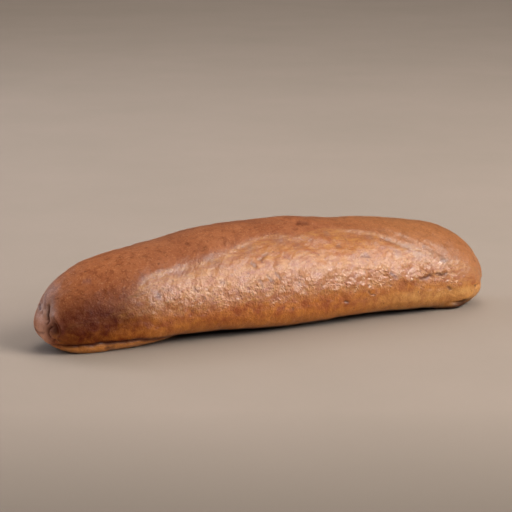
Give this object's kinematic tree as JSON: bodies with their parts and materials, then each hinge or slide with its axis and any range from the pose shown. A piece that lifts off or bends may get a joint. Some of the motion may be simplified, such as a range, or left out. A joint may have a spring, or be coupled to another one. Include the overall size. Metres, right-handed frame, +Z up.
{
  "type": "milk roll",
  "caption": "Long soft milk roll, rolled up from a sheet of dough, with a glossy brown crust, pinched ends and a flat base to rest on.",
  "frame": {"origin": "on the tray plane under the middle of the roll's bounding box", "axes": "+X along the roll from the pinched end to the blunt end, +Y to the back, +Z up"},
  "size_m": [0.191, 0.05, 0.0402],
  "materials": {
    "crust": null
  },
  "bodies": {
    "root": {"milk_roll": "crust"}
  },
  "joints": []
}
